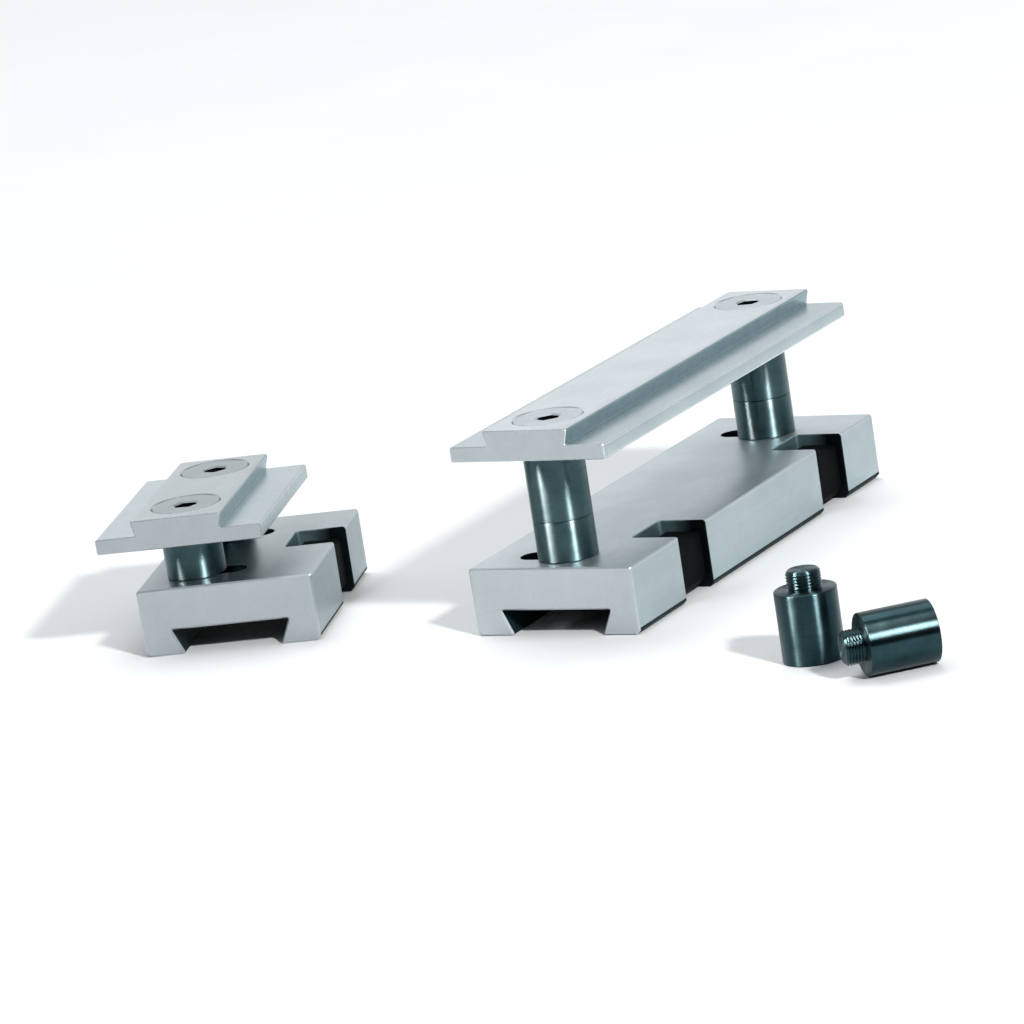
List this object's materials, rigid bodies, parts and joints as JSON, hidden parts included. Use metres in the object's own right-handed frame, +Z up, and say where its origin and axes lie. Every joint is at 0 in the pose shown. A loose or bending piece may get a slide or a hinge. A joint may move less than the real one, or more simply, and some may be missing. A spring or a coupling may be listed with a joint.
{
  "type": "dovetail rail riser set",
  "caption": "Set of a long and a short clamping dovetail riser: grooved bases, round posts, raised 11 mm rails, and loose studded extension posts.",
  "frame": {"origin": "centre of the set's plan outline, on the surface that the set stands on", "axes": "+Z up, +Y along the long riser from its near end to its far end, +X across it towards the jaw side and the loose posts"},
  "size_m": [0.117, 0.0838, 0.0244],
  "materials": {
    "long_base": "fine bead-blasted satin aluminium",
    "long_rail": "fine bead-blasted satin aluminium",
    "long_front_rail_screw": "bright satin steel",
    "long_rear_rail_screw": "bright satin steel",
    "long_front_extension_post": "dark burnished turned steel with fine turning marks",
    "long_rear_extension_post": "dark burnished turned steel with fine turning marks",
    "long_front_foot_post": "dark burnished turned steel with fine turning marks",
    "long_rear_foot_post": "dark burnished turned steel with fine turning marks",
    "long_front_foot_screw": "matt black oxide on steel",
    "long_rear_foot_screw": "matt black oxide on steel",
    "long_front_jaw": "matt black oxide on steel",
    "long_rear_jaw": "matt black oxide on steel",
    "long_front_clamp_screw": "matt black oxide on steel",
    "long_rear_clamp_screw": "matt black oxide on steel",
    "short_base": "fine bead-blasted satin aluminium",
    "short_rail": "fine bead-blasted satin aluminium",
    "short_front_rail_screw": "bright satin steel",
    "short_rear_rail_screw": "bright satin steel",
    "short_front_foot_post": "dark burnished turned steel with fine turning marks",
    "short_rear_foot_post": "dark burnished turned steel with fine turning marks",
    "short_front_foot_screw": "matt black oxide on steel",
    "short_rear_foot_screw": "matt black oxide on steel",
    "short_jaw": "matt black oxide on steel",
    "short_clamp_screw": "matt black oxide on steel",
    "standing_extension_post": "dark burnished turned steel with fine turning marks",
    "lying_extension_post": "dark burnished turned steel with fine turning marks"
  },
  "bodies": {
    "long_riser_base": {"long_base": "long_base"},
    "long_rail_carriage": {"long_rail": "long_rail", "long_front_rail_screw": "long_front_rail_screw", "long_rear_rail_screw": "long_rear_rail_screw", "long_front_extension_post": "long_front_extension_post", "long_rear_extension_post": "long_rear_extension_post", "long_front_foot_post": "long_front_foot_post", "long_rear_foot_post": "long_rear_foot_post", "long_front_foot_screw": "long_front_foot_screw", "long_rear_foot_screw": "long_rear_foot_screw"},
    "long_front_jaw": {"long_front_jaw": "long_front_jaw"},
    "long_rear_jaw": {"long_rear_jaw": "long_rear_jaw"},
    "long_front_clamp_screw": {"long_front_clamp_screw": "long_front_clamp_screw"},
    "long_rear_clamp_screw": {"long_rear_clamp_screw": "long_rear_clamp_screw"},
    "short_riser_base": {"short_base": "short_base"},
    "short_rail_carriage": {"short_rail": "short_rail", "short_front_rail_screw": "short_front_rail_screw", "short_rear_rail_screw": "short_rear_rail_screw", "short_front_foot_post": "short_front_foot_post", "short_rear_foot_post": "short_rear_foot_post", "short_front_foot_screw": "short_front_foot_screw", "short_rear_foot_screw": "short_rear_foot_screw"},
    "short_jaw": {"short_jaw": "short_jaw"},
    "short_clamp_screw": {"short_clamp_screw": "short_clamp_screw"},
    "standing_spare_post": {"standing_extension_post": "standing_extension_post"},
    "lying_spare_post": {"lying_extension_post": "lying_extension_post"}
  },
  "joints": [
    {"name": "long_rail_shift", "type": "slide", "parent": "long_riser_base", "child": "long_rail_carriage", "axis": [1, 0, 0], "range_m": [-0.0044, 0]},
    {"name": "long_front_clamp_turn", "type": "hinge", "parent": "long_riser_base", "child": "long_front_clamp_screw", "pos_m": [0.00456, -0.00795, 0.0049], "axis": [-1, 0, 0], "range_deg": [-481, 1121]},
    {"name": "long_front_jaw_slide", "type": "slide", "parent": "long_riser_base", "child": "long_front_jaw", "axis": [1, 0, 0], "range_m": [-0.0006, 0.0014]},
    {"name": "long_rear_clamp_turn", "type": "hinge", "parent": "long_riser_base", "child": "long_rear_clamp_screw", "pos_m": [0.00456, 0.02875, 0.0049], "axis": [-1, 0, 0], "range_deg": [-481, 1121]},
    {"name": "long_rear_jaw_slide", "type": "slide", "parent": "long_riser_base", "child": "long_rear_jaw", "axis": [1, 0, 0], "range_m": [-0.0006, 0.0014]},
    {"name": "short_riser_lift", "type": "slide", "parent": "long_riser_base", "child": "short_riser_base", "axis": [0, 0, 1], "range_m": [0, 0.03]},
    {"name": "short_rail_shift", "type": "slide", "parent": "short_riser_base", "child": "short_rail_carriage", "axis": [0.9472, 0.3206, 0], "range_m": [0, 0.0044]},
    {"name": "short_clamp_turn", "type": "hinge", "parent": "short_riser_base", "child": "short_clamp_screw", "pos_m": [-0.04177, -0.01122, 0.0049], "axis": [-0.9472, -0.3206, 0], "range_deg": [-481, 1121]},
    {"name": "short_jaw_slide", "type": "slide", "parent": "short_riser_base", "child": "short_jaw", "axis": [0.9472, 0.3206, 0], "range_m": [-0.0006, 0.0014]},
    {"name": "standing_post_lift", "type": "slide", "parent": "long_riser_base", "child": "standing_spare_post", "axis": [0, 0, 1], "range_m": [0, 0.03]},
    {"name": "lying_post_lift", "type": "slide", "parent": "long_riser_base", "child": "lying_spare_post", "axis": [0, 0, 1], "range_m": [0, 0.03]}
  ],
  "couplings": [
    {"joint": "long_front_clamp_turn", "follows": "long_front_jaw_slide", "rad_per_m": 13963},
    {"joint": "long_rear_clamp_turn", "follows": "long_rear_jaw_slide", "rad_per_m": 13963},
    {"joint": "short_clamp_turn", "follows": "short_jaw_slide", "rad_per_m": 13963}
  ]
}
